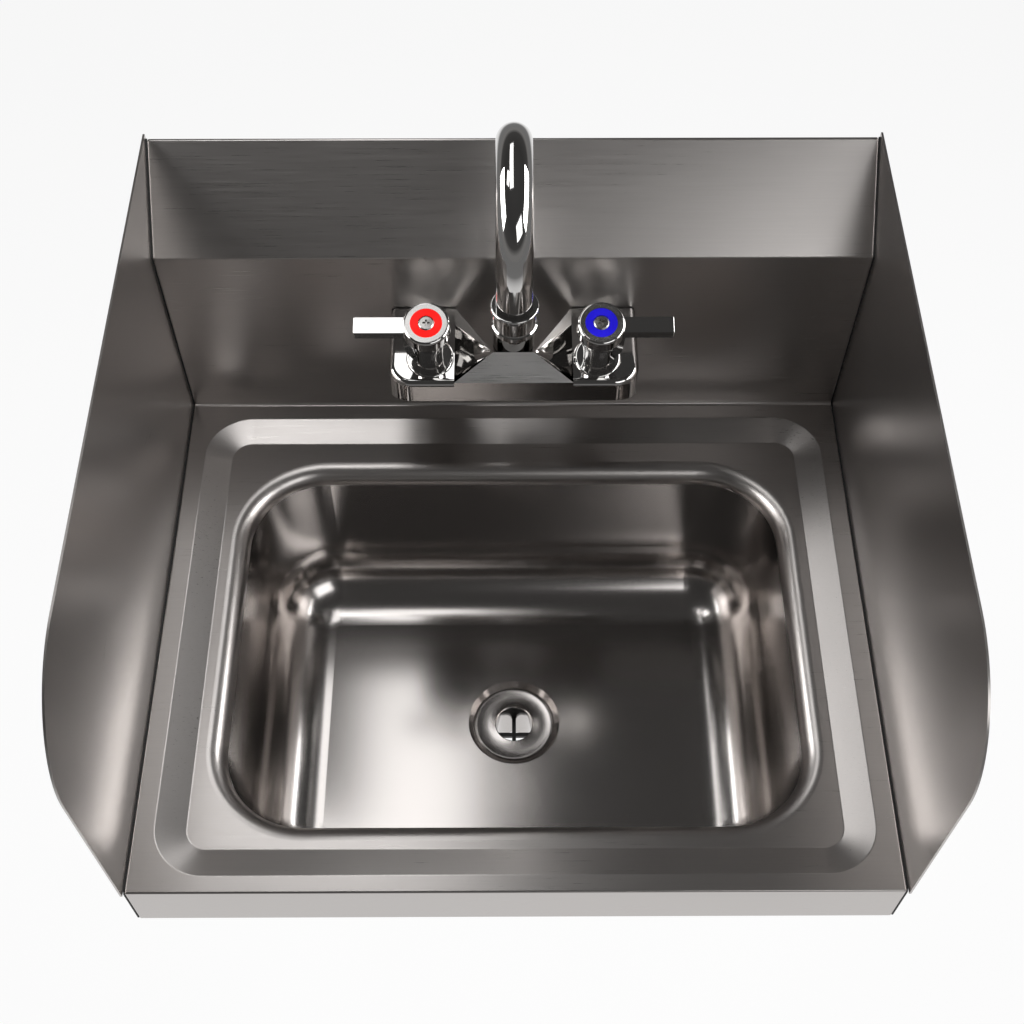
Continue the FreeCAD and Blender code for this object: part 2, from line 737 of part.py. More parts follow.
def scoop(side, sign):
    """Cone through three lines from the ridge's corner to the block's side, hollowing the bridge."""
    apex = at("ridge_half", "-ridge_reach", "ridge_rise")
    marks = (at("block_inner", "-faucet_reach", "0"), at("block_inner", "-scoop_rear", "0"),
             at("block_inner", "-scoop_dip_reach", "-scoop_dip"))
    lines = [(mark - apex).normalize() for mark in marks]
    axis = (lines[0] - lines[1]).cross(lines[0] - lines[2]).normalize()
    if axis.dot(lines[0]) < 0:
        axis = -axis
    length = 80.0
    spread = length * math.tan(math.acos(axis.dot(lines[0])))
    cone = doc.addObject("Part::Cone", "scoop_" + side)
    cone.Radius1, cone.Radius2, cone.Height = 0.0, spread, length
    mirrored_axis = Vector(sign * axis.x, axis.y, axis.z)
    cone.Placement = Placement(Vector(sign * apex.x, apex.y, apex.z), Rotation(UP, mirrored_axis))
    return cone


def valve_place(sign, depth=0.0):
    """Placement on a valve's tilted axis, at a depth below the body's top plane."""
    tilt = Rotation(Vector(1, 0, 0), SIZES["valve_tilt"])
    foot = FAUCET + Vector(sign * SIZES["valve_half_spacing"], -SIZES["valve_reach"], 0)
    return Placement(foot + tilt.multVec(Vector(0, 0, -depth)), tilt)


def faucet_bores():
    """Cartridge wells, bonnet seats, shank sockets, waterways and the spout's bore."""
    bores = []
    for side, sign in (("hot", -1), ("cold", 1)):
        well = valve_place(sign, SIZES["cartridge_depth"])
        seat_place = valve_place(sign, SIZES["bonnet_sink"])
        well.Base -= FAUCET
        seat_place.Base -= FAUCET
        across = value_of("valve_half_spacing") * sign
        bores.append(cylinder("cartridge_well_" + side, "cartridge_radius", "60", well))
        bores.append(cylinder("bonnet_seat_" + side, "bonnet_base", "60", seat_place))
        socket = Vector(across, value_of("-gasket - shank_grip"), -SIZES["shank_drop"])
        bores.append(cylinder("shank_socket_" + side, "shank_radius + thread_clearance", "40",
                              Placement(socket, ALONG_Y)))
        waterway = Vector(across, -SIZES["valve_reach"], -SIZES["shank_drop"])
        bores.append(cylinder("inlet_waterway_" + side, "5", "30", Placement(waterway, ALONG_Y)))
    bores.append(cylinder("cross_waterway", "4", "2 * valve_half_spacing",
                          Placement(at("-valve_half_spacing", "-hub_reach - 10", "-shank_drop"), ALONG_X)))
    bores.append(cylinder("spout_bore", "neck_bore", "80",
                          Placement(at("0", "-hub_reach", "-neck_floor"), Rotation())))
    return bores


# ---------- valves and handles

def valve(side, sign):
    """Cartridge, stem and bonnet of one valve, then its handle, index ring and screw."""
    place = valve_place(sign)
    bore, body_radius = "stem_radius + clearance", "cartridge_radius - clearance"
    turned(side + "_cartridge", [
        (bore, "-cartridge_depth + chamber"), ("chamber_radius", "-cartridge_depth + chamber"),
        ("chamber_radius", "-cartridge_depth"), (body_radius, "-cartridge_depth"),
        (body_radius, "-bonnet_sink"), ("collar_radius", "-bonnet_sink"),
        ("collar_radius", "-bonnet_sink + collar"), ("throat_radius", "-bonnet_sink + collar"),
        ("throat_radius", "throat_top"), (bore, "throat_top")], place)
    disc_top = "-cartridge_depth + chamber - clearance"
    turned(side + "_stem", [
        ("0", "-cartridge_depth + disc_lift"), ("disc_radius", "-cartridge_depth + disc_lift"),
        ("disc_radius", disc_top), ("stem_radius", disc_top), ("stem_radius", "stem_top"),
        ("stem_tap", "stem_top"), ("stem_tap", "stem_top - stem_tap_depth"),
        ("0", "stem_top - stem_tap_depth")], place)
    skirt, skirt_inner = "bonnet_base - clearance", "collar_radius + clearance"
    turned(side + "_bonnet", [
        (skirt_inner, "-bonnet_sink"), (skirt, "-bonnet_sink"), (skirt, "bonnet_shoulder"),
        (skirt + " - bonnet_round", "bonnet_shoulder + bonnet_round", "bonnet_round", "left"),
        ("bonnet_flat", "bonnet_top"), ("bonnet_hole", "bonnet_top"),
        ("bonnet_hole", "throat_top + clearance"), ("throat_radius + clearance", "throat_top + clearance"),
        ("throat_radius + clearance", "-bonnet_sink + collar + clearance"),
        (skirt_inner, "-bonnet_sink + collar + clearance")], place)
    finish(handle(side, sign), side + "_handle", place)
    ring_low, ring_top = "handle_top - index_sink", "handle_top - 0.1"
    turned(side + "_index", [
        ("index_hole", ring_low), ("index_radius - clearance", ring_low),
        ("index_radius - clearance", ring_top), ("index_hole", ring_top)], place)
    tightened = Placement(Vector(), Rotation(UP, SCREW_TURNS[side]))
    screw = turned_body(side + "_handle_screw", [
        ("0", "stem_top - screw_grip"), ("screw_radius", "stem_top - screw_grip"),
        ("screw_radius", "screw_seat"), ("screw_head", "screw_seat"),
        ("screw_head", "handle_top - 0.4"), ("screw_head - 0.8", "handle_top + 0.3"),
        ("0", "handle_top + 0.5")], place.multiply(tightened))
    cross_recess(screw, side + "_handle_recess", "handle_top + 0.5", "0.55", "2.1", "1.6")
    finish(screw, side + "_handle_screw")


def handle(side, sign):
    """Tapered barrel with a flat lever to the outside and a socket for the stem."""
    grip = new_body(side + "_handle")
    barrel = sketch_on(grip, "XZ_Plane", side + "_barrel")
    outline(barrel, [
        ("0", "handle_low"), ("handle_foot - 0.8", "handle_low"), ("handle_foot", "handle_low + 0.8"),
        ("handle_radius", "handle_top - handle_band", "handle_flare", "right"),
        ("handle_radius", "handle_top - cap_round"),
        ("handle_radius - cap_round", "handle_top", "cap_round", "left"), ("0", "handle_top")])
    feature(grip, "Revolution", side + "_barrel_turn", barrel)
    blade = sketch_on(grip, "XZ_Plane", side + "_blade")
    out = "" if sign > 0 else "-"
    top, under = "handle_top - lever_drop", "handle_top - lever_drop - lever_thick"
    outline(blade, [
        (out + "lever_reach", top), (out + "4", top), (out + "4", "handle_low + 2"),
        (out + "handle_foot", "handle_low + 3"), (out + "heel_reach", "lever_heel"),
        (out + "heel_reach + " + out + "0.8", under), (out + "lever_reach", under)])
    lever = feature(grip, "Pad", side + "_lever", blade, Length="lever_width")
    lever.SideType = "Symmetric"
    doc.recompute()
    reach = value_of("lever_reach")
    softened = dress(grip, "Fillet", side + "_lever_edges", lever,
                     lambda spot, edge: near(abs(spot.x), reach), Radius="0.8")
    socket = sketch_on(grip, "XZ_Plane", side + "_socket")
    outline(socket, [
        ("0", "handle_low - 1"), ("stem_radius + clearance", "handle_low - 1"),
        ("stem_radius + clearance", "stem_top"), ("screw_radius + 0.5", "stem_top"),
        ("screw_radius + 0.5", "screw_seat"),
        ("screw_head + 0.1", "screw_seat"), ("screw_head + 0.1", "handle_top - index_sink"),
        ("index_radius", "handle_top - index_sink"), ("index_radius", "handle_top + 1"),
        ("0", "handle_top + 1")])
    feature(grip, "Groove", side + "_socket_cut", socket)
    return grip


# ---------- inlets

def inlet(side, sign):
    """Threaded shank through the backsplash, its washer and locknut behind it, its gasket before it."""
    across = value_of("valve_half_spacing") * sign
    place = Placement(FAUCET + Vector(across, 0, -SIZES["shank_drop"]), ALONG_Y)
    locknut_end = "sheet + washer + locknut + 0.1"
    turned(side + "_shank", [
        ("shank_bore", "-gasket - shank_grip"), ("shank_radius", "-gasket - shank_grip"),
        ("shank_radius", locknut_end), ("shank_radius - 0.6", locknut_end),
        ("shank_radius - 0.6", locknut_end + " + thread_relief"),
        ("shank_radius", locknut_end + " + thread_relief"),
        ("shank_radius", "shank_tail - 1"), ("shank_radius - 1", "shank_tail"),
        ("shank_bore", "shank_tail")], place)
    turned(side + "_shank_washer", [
        ("shank_radius + 0.3", "sheet"), ("washer_radius", "sheet"), ("washer_radius", "sheet + washer"),
        ("shank_radius + 0.3", "sheet + washer")], place)
    nut = new_body(side + "_shank_locknut")
    profile = sketch_on(nut, "XY_Plane", side + "_locknut_outline", "sheet + washer")
    hexagon(profile, "locknut_flat")
    circle(profile, "shank_radius + thread_clearance")
    feature(nut, "Pad", side + "_locknut_pad", profile, Length="locknut")
    finish(nut, side + "_shank_locknut", place)
    gasket = new_body(side + "_gasket")
    shape = sketch_on(gasket, "XZ_Plane", side + "_gasket_outline")
    mirror = "" if sign > 0 else "-"
    inner, outer = mirror + "gasket_inner", mirror + "gasket_outer"
    outline(shape, [(outer, "-gasket_margin"), (inner, "-gasket_margin"),
                    (inner, "-faucet_thick + gasket_margin"), (outer, "-faucet_thick + gasket_margin")])
    circle(shape, "shank_hole", mirror + "valve_half_spacing", "-shank_drop")
    feature(gasket, "Pad", side + "_gasket_pad", shape, Length="gasket")
    finish(gasket, side + "_gasket", Placement(FAUCET, Rotation()))


# ---------- spout and outlet

def spout():
    """Gooseneck with its swivel sleeve, O-rings and retaining nut."""
    place = Placement(FAUCET + at("0", "-hub_reach", "0"), Rotation())
    tube = new_body("spout_tube")
    route = sketch_on(tube, "YZ_Plane", "spout_route")
    low, crown = Vector(0, SIZES["tube_foot"], 0), Vector(0, SIZES["spout_rise"], 0)
    span = 2 * SIZES["spout_radius"]
    riser = route.addGeometry(Part.LineSegment(low, crown))
    bend_end = crown - Vector(span, 0, 0)
    bend = route.addGeometry(arc_between(crown, bend_end, span / 2, "left"))
    leg = route.addGeometry(Part.LineSegment(bend_end, Vector(-span, SIZES["spout_end"], 0)))
    route.addConstraint(Sketcher.Constraint("Coincident", riser, 2, bend, 1))
    route.addConstraint(Sketcher.Constraint("Coincident", bend, 2, leg, 1))
    pin(route, riser, 1, "0", "tube_foot")
    pin(route, riser, 2, "0", "spout_rise")
    pin(route, bend, 3, "-spout_radius", "spout_rise")
    pin(route, leg, 2, "-2 * spout_radius", "spout_end")
    ring = sketch_on(tube, "XY_Plane", "spout_ring", "tube_foot")
    circle(ring, "tube_radius")
    circle(ring, "tube_radius - tube_wall")
    sweep = tube.newObject("PartDesign::AdditivePipe", "spout_sweep")
    sweep.Profile = ring
    sweep.Spine = (route, [])
    doc.recompute()
    finish(tube, "spout_tube", place)
    groove = "o_ring_radius - o_ring_section - 0.03"
    turned("spout_sleeve", [
        ("8.1", "-sleeve_foot"), ("sleeve_radius", "-sleeve_foot"),
        ("sleeve_radius", "-9.4"), (groove, "-9.4"), (groove, "-8"), ("sleeve_radius", "-8"),
        ("sleeve_radius", "-3.4"), (groove, "-3.4"), (groove, "-2"), ("sleeve_radius", "-2"),
        ("sleeve_radius", "neck_top"), ("neck_radius - 0.2", "neck_top"),
        ("neck_radius - 0.2", "shoulder_top"), ("tube_radius + 0.02", "shoulder_top"),
        ("tube_radius + 0.02", "tube_foot"), ("8.1", "tube_foot")], place)
    rings = []
    for number, height in enumerate(("-8.7", "-2.7")):
        o_ring = sized(doc.addObject("Part::Torus", "o_ring_%d" % number),
                       Radius1="o_ring_radius", Radius2="o_ring_section")
        o_ring.Placement = Placement(FAUCET + at("0", "-hub_reach", height), Rotation())
        rings.append(o_ring)
    pair("spout_o_rings", rings)
    turned("spout_nut", [
        ("neck_radius + thread_clearance", "nut_foot"), ("nut_radius - 0.6", "nut_foot"),
        ("nut_radius", "nut_foot + 0.6"), ("nut_radius", "nut_top - 1"), ("nut_radius - 1", "nut_top"),
        ("tube_radius + 0.06", "nut_top"), ("tube_radius + 0.06", "shoulder_top + 0.1"),
        ("neck_radius + thread_clearance", "shoulder_top + 0.1")], place)


def outlet():
    """Aerator at the spout's end: shell, insert and washer."""
    place = Placement(FAUCET + at("0", "-hub_reach - 2 * spout_radius", "outlet_top"), Rotation())
    turned("aerator_shell", [
        ("outlet_bore", "0"), ("outlet_radius - 0.8", "0"), ("outlet_radius", "-0.8", "0.8", "right"),
        ("outlet_radius", "-2.2"), ("outlet_radius - 0.8", "-3", "0.8", "right"),
        ("outlet_radius - 1.1", "-3.4"), ("outlet_radius - 1.3", "-13"), ("outlet_radius - 0.6", "-13.6"),
        ("outlet_radius - 0.6", "-16.2"), ("outlet_radius - 1.5", "-17.2"),
        ("nozzle_radius + 0.6", "-19.4", "7", "left"), ("nozzle_radius", "-20.4"),
        ("nozzle_radius", "-nozzle_drop + 0.6"), ("nozzle_radius - 0.6", "-nozzle_drop", "0.6", "right"),
        ("nozzle_bore", "-nozzle_drop"), ("nozzle_bore", "-19"), ("outlet_bore", "-16")], place)
    inner = "outlet_bore - clearance"
    turned("aerator_washer", [
        ("disc_radius", "-insert_top"), (inner, "-insert_top"), (inner, "-insert_top + 2"),
        ("disc_radius", "-insert_top + 2")], place)
    turned("aerator_insert", [
        ("0", "-11"), ("3", "-11"), ("3", "-15.5"), (inner, "-15.5"), (inner, "-insert_top"),
        ("8", "-insert_top"), ("8", "-9"), ("0", "-9")], place)


# ---------- drain

def drain():
    """Flanged drain body with its crossbar, sealed and clamped under the bowl's floor."""
    place = Placement(DECK + at("0", "bowl_centre", "-step_drop - bowl_drop - seat_sink"), Rotation())
    locknut_end = "-sheet - 1.5 * drain_washer - drain_nut - 0.1"
    turned("drain_flange", [
        ("drain_thread", "0"), ("flange_radius", "0"), ("flange_radius", "flange_rim - 0.4"),
        ("flange_radius - 0.4", "flange_rim"), ("flange_radius - 1.1", "flange_rim"),
        ("drain_bore + 0.6", "flange_rim - 0.2", "62", "right"), ("drain_bore", "flange_rim - 0.7"),
        ("drain_bore", "-drain_length"), ("drain_thread - 0.8", "-drain_length"),
        ("drain_thread", "-drain_length + 0.8"), ("drain_thread", locknut_end + " - thread_relief"),
        ("drain_thread - 0.6", locknut_end + " - thread_relief"), ("drain_thread - 0.6", locknut_end),
        ("drain_thread", locknut_end)], place)
    bars = []
    for way, length, width in (("across", "2 * drain_bore", "crossbar_width"),
                               ("along", "crossbar_width", "2 * drain_bore")):
        corner = Vector(-value_of(length) / 2, -value_of(width) / 2, -SIZES["crossbar_drop"])
        bars.append(box("crossbar_" + way, length, width, "crossbar_height", corner))
    bore = cylinder("crossbar_bound", "drain_bore - 0.05", "drain_length",
                    Placement(at("0", "0", "-drain_length"), Rotation()))
    crossbar = boolean("MultiCommon", "drain_crossbar", boolean("MultiFuse", "crossbar_blank", *bars), bore)
    finish(crossbar, "drain_crossbar", place)
    stack = "-sheet"
    rings = (("drain_gasket", "drain_washer_radius", "drain_washer"),
             ("drain_fibre_washer", "drain_washer_radius - 1", "0.5 * drain_washer"))
    for label, radius, thick in rings:
        lower = stack + " - " + thick
        turned(label, [("drain_thread + 0.3", lower), (radius, lower), (radius, stack),
                       ("drain_thread + 0.3", stack)], place)
        stack = lower
    nut = new_body("drain_locknut")
    profile = sketch_on(nut, "XY_Plane", "drain_locknut_outline", stack + " - drain_nut")
    hexagon(profile, "drain_nut_flat")
    circle(profile, "drain_thread + thread_clearance")
    feature(nut, "Pad", "drain_locknut_pad", profile, Length="drain_nut")
    finish(nut, "drain_locknut", place)


def check_and_export():
    """Stop on any failed object or bad shape, then write each sub-part to its own file."""
    doc.recompute()
    for item in doc.Objects:
        if "Invalid" in item.State or "Error" in item.State:
            raise RuntimeError("%s did not build: %s" % (item.Name, item.getStatusString()))
    for item in sub_parts:
        if item.Shape.isNull() or not item.Shape.isValid() or not item.Shape.Solids:
            raise RuntimeError("%s has no valid solid" % item.Label)
    os.makedirs("parts", exist_ok=True)
    for item in sub_parts:
        item.Shape.exportStep("parts/%s.step" % item.Label)
        print("%-22s %2d solid(s) %12.1f mm3" % (item.Label, len(item.Shape.Solids), item.Shape.Volume))


sink_top_and_bowl()
for splash, direction in (("left", -1), ("right", 1)):
    side_splash(splash, direction)
    splash_fixings(splash, direction)
wall_bracket()
faucet_body()
for water, direction in (("hot", -1), ("cold", 1)):
    valve(water, direction)
    inlet(water, direction)
spout()
outlet()
drain()
check_and_export()
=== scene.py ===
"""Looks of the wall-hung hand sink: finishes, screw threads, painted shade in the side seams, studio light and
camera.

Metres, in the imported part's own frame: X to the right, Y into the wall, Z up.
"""

import json
import math

import bmesh
import bpy
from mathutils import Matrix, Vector


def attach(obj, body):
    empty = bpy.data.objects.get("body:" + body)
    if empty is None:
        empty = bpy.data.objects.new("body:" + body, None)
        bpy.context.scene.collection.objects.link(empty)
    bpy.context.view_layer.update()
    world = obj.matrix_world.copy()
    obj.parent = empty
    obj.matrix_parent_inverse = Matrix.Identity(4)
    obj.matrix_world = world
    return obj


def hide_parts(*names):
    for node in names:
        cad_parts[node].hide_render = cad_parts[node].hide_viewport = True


MM = 0.001

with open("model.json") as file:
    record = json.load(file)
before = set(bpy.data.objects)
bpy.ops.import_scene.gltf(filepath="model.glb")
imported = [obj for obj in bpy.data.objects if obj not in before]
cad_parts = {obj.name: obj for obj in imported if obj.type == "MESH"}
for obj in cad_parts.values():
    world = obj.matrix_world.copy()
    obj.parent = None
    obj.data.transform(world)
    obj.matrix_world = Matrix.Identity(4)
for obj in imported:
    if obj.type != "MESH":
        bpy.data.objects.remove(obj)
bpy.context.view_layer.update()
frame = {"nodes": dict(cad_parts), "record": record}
nodes = frame["nodes"]
node_slots = {piece["node"]: piece["material_slot"] for piece in frame["record"]["subparts"]}

# ---------- places taken from the part
VALVE_TILT = math.radians(14.0)
VALVE_AXIS = Vector((0.0, -math.sin(VALVE_TILT), math.cos(VALVE_TILT)))
VALVE_FOOT = {"hot": Vector((-0.0508, -0.0919, -0.0386)), "cold": Vector((0.0508, -0.0919, -0.0386))}
HANDLE_TOP = 0.0476                         # along the valve's axis
BRIDGE_HALF = 0.034                         # half width of the flat between the valves
SHANK_FOOT = {"hot": Vector((-0.0508, -0.0508, -0.056)), "cold": Vector((0.0508, -0.0508, -0.056))}
DRAIN_CENTRE = Vector((0.0, -0.2271, -0.2675))


# ---------- node helpers

def add_node(tree, kind, **settings):
    """New node with its properties and input values; a key with underscores names an input."""
    node = tree.nodes.new(kind)
    for key, value in settings.items():
        if hasattr(node, key):
            setattr(node, key, value)
        else:
            node.inputs[key.replace("_", " ")].default_value = value
    return node


def link(tree, source, target):
    """Join an output to an input."""
    tree.links.new(source, target)


def new_tree(name):
    """Material with an empty tree and its principled shader."""
    material = bpy.data.materials.new(name)
    material.use_nodes = True
    tree = material.node_tree
    tree.nodes.clear()
    shader = tree.nodes.new("ShaderNodeBsdfPrincipled")
    output = tree.nodes.new("ShaderNodeOutputMaterial")
    link(tree, shader.outputs["BSDF"], output.inputs["Surface"])
    return material, tree, shader


def noise(tree, scale, detail=4.0, roughness=0.55):
    """Noise in the piece's own coordinates, stretched by a scale on each axis (per metre)."""
    place = tree.nodes.new("ShaderNodeTexCoord")
    mapping = add_node(tree, "ShaderNodeMapping", Scale=scale)
    link(tree, place.outputs["Object"], mapping.inputs["Vector"])
    texture = add_node(tree, "ShaderNodeTexNoise", Scale=1.0, Detail=detail, Roughness=roughness)
    link(tree, mapping.outputs["Vector"], texture.inputs["Vector"])
    return texture.outputs["Fac"]


def ranged(tree, source, low, high, start=0.3, end=0.7):
    """Map the middle of a noise onto a range of values."""
    span = add_node(tree, "ShaderNodeMapRange", From_Min=start, From_Max=end, To_Min=low, To_Max=high)
    link(tree, source, span.inputs["Value"])
    return span.outputs["Result"]


def added(tree, first, second):
    """Sum of two values."""
    total = add_node(tree, "ShaderNodeMath", operation="ADD")
    link(tree, first, total.inputs[0])
    link(tree, second, total.inputs[1])
    return total.outputs["Value"]


def tinted(tree, source, dark, light):
    """Colour between two shades."""
    ramp = tree.nodes.new("ShaderNodeValToRGB")
    ramp.color_ramp.elements[0].position = 0.3
    ramp.color_ramp.elements[0].color = (*dark, 1.0)
    ramp.color_ramp.elements[1].position = 0.7
    ramp.color_ramp.elements[1].color = (*light, 1.0)
    link(tree, source, ramp.inputs["Fac"])
    return ramp.outputs["Color"]


def bumped(tree, shader, source, strength, distance):
    """Relief from a height."""
    bump = add_node(tree, "ShaderNodeBump", Strength=strength, Distance=distance)
    link(tree, source, bump.inputs["Height"])
    link(tree, bump.outputs["Normal"], shader.inputs["Normal"])


# ---------- finishes
CLOUDS = (9.0, 9.0, 9.0)                    # scale of the cloudy polish, per metre
GRAIN_HEIGHT = 0.05 * MM
SKIN_HEIGHT = 0.1 * MM
CHROME, CHROME_ROUGHNESS = (0.58, 0.57, 0.56), 0.045


def steel(name, grain, colour, roughness, spread, relief, shade=0.94):
    """Stainless or plated steel: hairline grain, cloudy polish and faint smears."""
    material, tree, shader = new_tree(name)
    shader.inputs["Metallic"].default_value = 1.0
    lines = noise(tree, grain, 5.0, 0.7)
    haze = noise(tree, CLOUDS, 3.0)
    darker = tuple(channel * shade for channel in colour)
    link(tree, tinted(tree, lines, darker, colour), shader.inputs["Base Color"])
    base = ranged(tree, lines, roughness - spread, roughness + spread)
    smear = ranged(tree, haze, -0.35 * spread, 0.35 * spread)
    link(tree, added(tree, base, smear), shader.inputs["Roughness"])
    bumped(tree, shader, lines, relief, GRAIN_HEIGHT)
    return material


def chrome(name):
    """Polished chrome with wiping marks and a trace of casting ripple."""
    material, tree, shader = new_tree(name)
    shader.inputs["Metallic"].default_value = 1.0
    shader.inputs["Base Color"].default_value = (*CHROME, 1.0)
    wiped = noise(tree, (60.0, 60.0, 60.0), 5.0, 0.65)
    shine = ranged(tree, wiped, CHROME_ROUGHNESS * 0.6, CHROME_ROUGHNESS * 1.9)
    link(tree, shine, shader.inputs["Roughness"])
    bumped(tree, shader, noise(tree, (90.0, 90.0, 90.0), 1.0), 0.003, GRAIN_HEIGHT)
    return material


def spun(name, colour, roughness, metallic=1.0, anisotropic=0.85):
    """Face turned on a lathe: the highlight fans out from the centre."""
    material, tree, shader = new_tree(name)
    shader.inputs["Metallic"].default_value = metallic
    shader.inputs["Anisotropic"].default_value = anisotropic
    shader.inputs["Specular IOR Level"].default_value = 0.25
    fine = noise(tree, (900.0, 900.0, 900.0), 3.0)
    darker = tuple(channel * 0.9 for channel in colour)
    link(tree, tinted(tree, fine, darker, colour), shader.inputs["Base Color"])
    link(tree, ranged(tree, fine, roughness * 0.85, roughness * 1.15), shader.inputs["Roughness"])
    tangent = add_node(tree, "ShaderNodeTangent", direction_type="RADIAL", axis="Z")
    link(tree, tangent.outputs["Tangent"], shader.inputs["Tangent"])
    return material


def moulded(name, colour, roughness, relief, scale=700.0):
    """Moulded plastic, rubber or fibre, with a fine skin and dull patches."""
    material, tree, shader = new_tree(name)
    skin = noise(tree, (scale, scale, scale), 3.0)
    dull = noise(tree, (45.0, 45.0, 45.0), 3.0)
    darker = tuple(channel * 0.8 for channel in colour)
    link(tree, tinted(tree, dull, darker, colour), shader.inputs["Base Color"])
    link(tree, ranged(tree, dull, roughness - 0.06, roughness + 0.06), shader.inputs["Roughness"])
    bumped(tree, shader, skin, relief, SKIN_HEIGHT)
    return material


STEEL = (0.50, 0.475, 0.46)
TURNED = (0.42, 0.41, 0.40)
BRIDGE = (0.75, 0.74, 0.73)
# grain as noise scales on each axis, per metre
ALONG_X = (22.0, 1500.0, 1500.0)
ALONG_Y = (1500.0, 22.0, 1500.0)
SATIN = (520.0, 520.0, 520.0)
DRAWN = (1400.0, 1400.0, 1400.0)
LONG_HAIR = (30.0, 2600.0, 2600.0)

finishes = {
    "stainless": steel("brushed_along_x", ALONG_X, STEEL, 0.30, 0.03, 0.05),
    "chrome": chrome("chrome"),
    "drain_steel": steel("turned_steel", SATIN, STEEL, 0.16, 0.02, 0.004),
    "screw_steel": steel("screw_steel", SATIN, (0.36, 0.35, 0.34), 0.28, 0.04, 0.02),
    "zinc_steel": steel("zinc_plate", (80.0, 80.0, 80.0), (0.56, 0.57, 0.58), 0.38, 0.10, 0.05),
    "brass": steel("brass", SATIN, (0.72, 0.55, 0.28), 0.26, 0.06, 0.03),
    "ceramic_white": moulded("housing", (0.85, 0.85, 0.82), 0.45, 0.15),
    "red_plastic": spun("red_index", (0.92, 0.006, 0.004), 0.20, 0.55),
    "blue_plastic": spun("blue_index", (0.030, 0.020, 0.98), 0.20, 0.45),
    "black_plastic": moulded("black_plastic", (0.010, 0.010, 0.010), 0.38, 0.20),
    "white_plastic": moulded("nylon", (0.85, 0.85, 0.83), 0.40, 0.15),
    "rubber": moulded("rubber", (0.020, 0.020, 0.020), 0.65, 0.35),
    "fibre": moulded("fibre", (0.35, 0.12, 0.08), 0.75, 0.60, 350.0),
}
side_steel = steel("brushed_along_y", ALONG_Y, STEEL, 0.31, 0.03, 0.05)
bowl_steel = steel("drawn_satin", DRAWN, STEEL, 0.18, 0.012, 0.002, 0.985)
cap_steel = spun("turned_cap", TURNED, 0.24, 1.0, 0.5)
bridge_steel = steel("brushed_bridge", LONG_HAIR, BRIDGE, 0.34, 0.08, 0.30)

for name, piece in nodes.items():
    piece.data.materials.clear()
    piece.data.materials.append(finishes[node_slots[name]])
for name in ("left_side_splash", "right_side_splash"):
    nodes[name].data.materials[0] = side_steel
nodes["bowl"].data.materials[0] = bowl_steel


def refinish(piece, material, test):
    """Give another finish to the faces whose middle and normal pass the test."""
    piece.data.materials.append(material)
    index = len(piece.data.materials) - 1
    for face in piece.data.polygons:
        if test(face.center, face.normal):
            face.material_index = index


for side in ("hot", "cold"):
    foot = VALVE_FOOT[side]
    refinish(nodes[side + "_handle"], cap_steel,
             lambda centre, normal: (centre - foot).dot(VALVE_AXIS) > HANDLE_TOP - 0.3 * MM
             and normal.dot(VALVE_AXIS) > 0.995)
refinish(nodes["faucet_body"], bridge_steel,
         lambda centre, normal: abs(centre.x) < BRIDGE_HALF and normal.z > 0.6 and normal.y < -0.3
         and abs(normal.x) < 0.05)


# ---------- new pieces

def closed_mesh(name, points, faces):
    """Mesh of a closed solid, with its normals outwards."""
    mesh = bpy.data.meshes.new(name)
    mesh.from_pydata(points, [], faces)
    shell = bmesh.new()
    shell.from_mesh(mesh)
    bmesh.ops.recalc_face_normals(shell, faces=shell.faces)
    shell.to_mesh(mesh)
    shell.free()
    return mesh


def placed(mesh, material):
    """Object in the scene for a mesh, in one material."""
    piece = bpy.data.objects.new(mesh.name, mesh)
    bpy.context.scene.collection.objects.link(piece)
    mesh.materials.append(material)
    return piece


# ---------- screw threads (millimetres, along and from each axis)
RINGS_PER_TURN = 8
RUN_OUT = 1.2                               # length over which a thread fades at each end
SHARP_ANGLE = math.radians(40.0)
RIGHT, INWARD, UP = Vector((1, 0, 0)), Vector((0, 1, 0)), Vector((0, 0, 1))

SHANK_RADIUS, SHANK_BORE, SHANK_FACE_RADIUS = 10.4, 7.0, 9.4
SHANK_FRONT, SHANK_END = -15.0, 42.0
SHANK_GROOVE_RADIUS, SHANK_GROOVE_START, SHANK_GROOVE_END = 9.8, 8.9, 9.9
SHANK_THREAD_END, SHANK_PITCH, SHANK_DEPTH = 41.0, 25.4 / 14.0, 0.85

DRAIN_RADIUS, DRAIN_BORE, DRAIN_FACE_RADIUS = 16.6, 12.4, 15.8
DRAIN_FOOT, DRAIN_THREAD_START, DRAIN_THREAD_END = -38.0, -37.2, -13.3
DRAIN_GROOVE_RADIUS, DRAIN_GROOVE_END = 16.0, -12.3
DRAIN_PITCH, DRAIN_DEPTH = 25.4 / 11.5, 1.0
FLANGE_RADIUS, FLANGE_EDGE, FLANGE_BREAK, FLANGE_TOP = 26.4, 1.2, 26.0, 1.6
DISH_RADIUS, DISH_WIDTH, DISH_FALL, DISH_SAG, DISH_STEPS = 25.3, 12.3, 0.2, 0.305, 12
THROAT_EDGE = 0.9


def thread_rings(start, end, radius, pitch, depth):
    """Rings of a helical thread that fades out at both ends: (radius, depth, turn, distance) each."""
    count = round((end - start) / pitch * RINGS_PER_TURN)
    rings = []
    for step in range(count + 1):
        along = start + (end - start) * step / count
        fade = min((along - start) / RUN_OUT, (end - along) / RUN_OUT, 1.0)
        rings.append((radius, depth * fade, along / pitch, along))
    return rings


